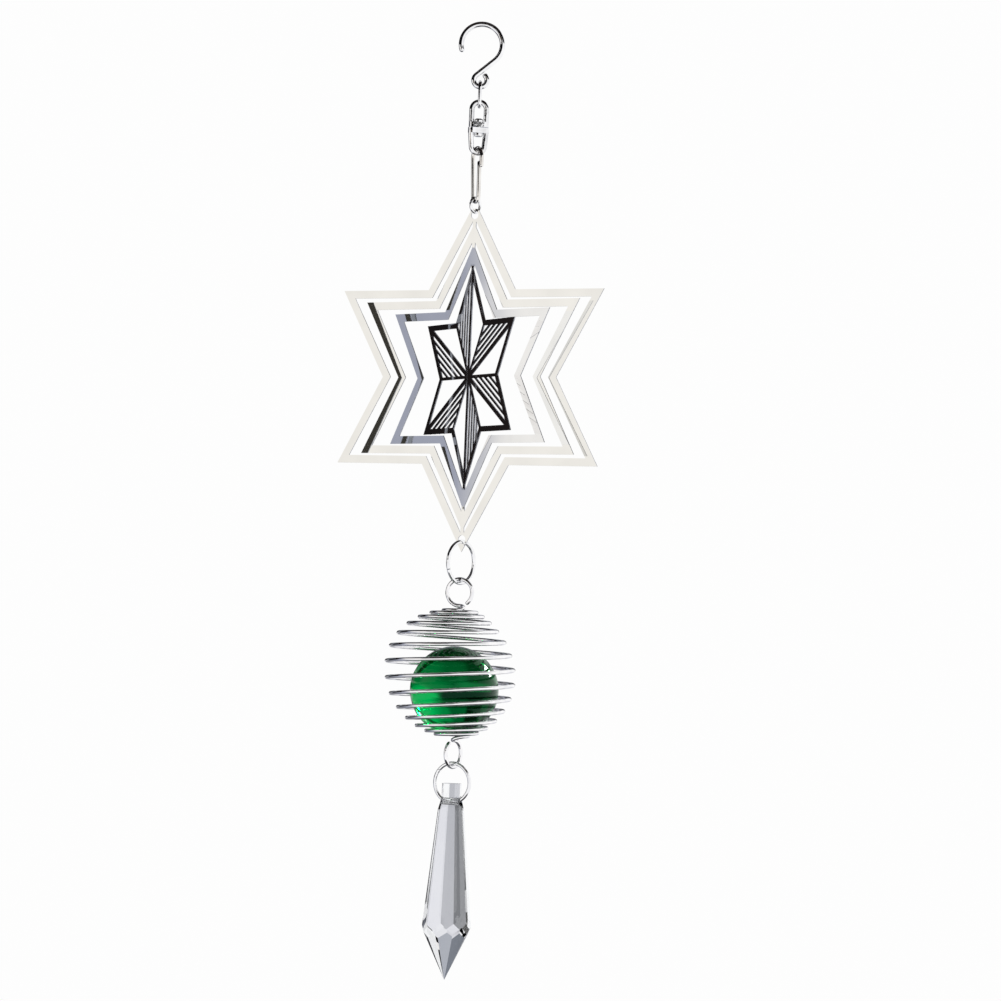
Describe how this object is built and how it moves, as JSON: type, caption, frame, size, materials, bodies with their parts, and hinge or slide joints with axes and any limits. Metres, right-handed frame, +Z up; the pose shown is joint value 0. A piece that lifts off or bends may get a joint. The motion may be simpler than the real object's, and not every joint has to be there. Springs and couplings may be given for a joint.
{
  "type": "wind spinner",
  "caption": "Hanging wind spinner: hook and swivel, twisted mirror star of nested six-pointed rings, spiral wire cage holding a green glass ball, and a faceted clear crystal drop.",
  "frame": {"origin": "the hang point: the inner top of the hook loop, where the hook rests on what holds it", "axes": "+Z up along the hanging chain, +X to the right as the star faces the viewer, -Y towards the viewer"},
  "size_m": [0.0736, 0.0484, 0.2699],
  "materials": {
    "hook_chrome": "bright polished wire",
    "ring_chrome": "bright plated wire",
    "swivel_chrome": "bright plated, cast",
    "clip_steel": "bright spring wire",
    "star_mirror": "mirror-polished stainless sheet",
    "cage_chrome": "bright plated wire",
    "ball_glass": "clear green glass",
    "crystal_glass": "clear cut glass"
  },
  "bodies": {
    "hook": {"s_hook": "hook_chrome"},
    "link": {"hook_link": "ring_chrome"},
    "swivel_upper": {"swivel_top_bail": "swivel_chrome", "swivel_rivet": "swivel_chrome"},
    "swivel_lower": {"swivel_bottom_bail": "swivel_chrome"},
    "clip": {"snap_clip": "clip_steel"},
    "jump_ring": {"star_jump_ring": "ring_chrome"},
    "star_outer": {"star_outer_frame": "star_mirror", "twist_necks_outer": "star_mirror"},
    "star_second": {"star_second_ring": "star_mirror", "twist_necks_middle": "star_mirror"},
    "star_third": {"star_third_ring": "star_mirror", "twist_necks_inner": "star_mirror"},
    "star_center": {"star_center_panel": "star_mirror"},
    "cage_hanger": {"star_to_cage_ring": "ring_chrome"},
    "cage": {"spiral_cage": "cage_chrome"},
    "ball": {"glass_ball": "ball_glass"},
    "crystal_hanger": {"crystal_ring": "ring_chrome"},
    "crystal": {"crystal_prism": "crystal_glass"}
  },
  "joints": [
    {"name": "link_swing", "type": "hinge", "parent": "hook", "child": "link", "pos_m": [0, 0, -0.017], "axis": [1, 0, 0], "range_deg": [-50, 50]},
    {"name": "swivel_swing", "type": "hinge", "parent": "link", "child": "swivel_upper", "pos_m": [0, 0, -0.02265], "axis": [0, 1, 0], "range_deg": [-50, 50]},
    {"name": "swivel_spin", "type": "hinge", "parent": "swivel_upper", "child": "swivel_lower", "pos_m": [0, 0, -0.0285], "axis": [0, 0, 1], "continuous": true},
    {"name": "clip_swing", "type": "hinge", "parent": "swivel_lower", "child": "clip", "pos_m": [0, 0, -0.03575], "axis": [-0.9703, -0.2419, 0], "range_deg": [-40, 40]},
    {"name": "star_ring_swing", "type": "hinge", "parent": "clip", "child": "jump_ring", "pos_m": [0, 0, -0.04958], "axis": [-0.4695, 0.8829, 0], "range_deg": [-40, 40]},
    {"name": "star_swing", "type": "hinge", "parent": "jump_ring", "child": "star_outer", "pos_m": [0, 0, -0.05257], "axis": [0.6428, 0.766, 0], "range_deg": [-35, 35]},
    {"name": "twist_second", "type": "hinge", "parent": "star_outer", "child": "star_second", "pos_m": [0, 0, -0.0991], "axis": [0, 0, 1], "range_deg": [-84, 96]},
    {"name": "twist_third", "type": "hinge", "parent": "star_second", "child": "star_third", "pos_m": [0, 0, -0.0991], "axis": [0, 0, 1], "range_deg": [-79.3, 100.7]},
    {"name": "twist_center", "type": "hinge", "parent": "star_third", "child": "star_center", "pos_m": [0, 0, -0.0991], "axis": [0, 0, 1], "range_deg": [-74.6, 105.4]},
    {"name": "cage_ring_swing", "type": "hinge", "parent": "star_outer", "child": "cage_hanger", "pos_m": [0, 0, -0.14552], "axis": [-0.6157, -0.788, 0], "range_deg": [-40, 40]},
    {"name": "cage_swing", "type": "hinge", "parent": "cage_hanger", "child": "cage", "pos_m": [0, 0, -0.15605], "axis": [0.9336, -0.3584, 0], "range_deg": [-35, 35]},
    {"name": "ball_lift", "type": "slide", "parent": "cage", "child": "ball", "axis": [0, 0, 1], "range_m": [0, 0.009]},
    {"name": "crystal_ring_swing", "type": "hinge", "parent": "cage", "child": "crystal_hanger", "pos_m": [0, 0, -0.20885], "axis": [0.5592, 0.829, 0], "range_deg": [-40, 40]},
    {"name": "crystal_swing", "type": "hinge", "parent": "crystal_hanger", "child": "crystal", "pos_m": [0, 0, -0.21875], "axis": [-0.8829, 0.4695, 0], "range_deg": [-40, 40]}
  ]
}
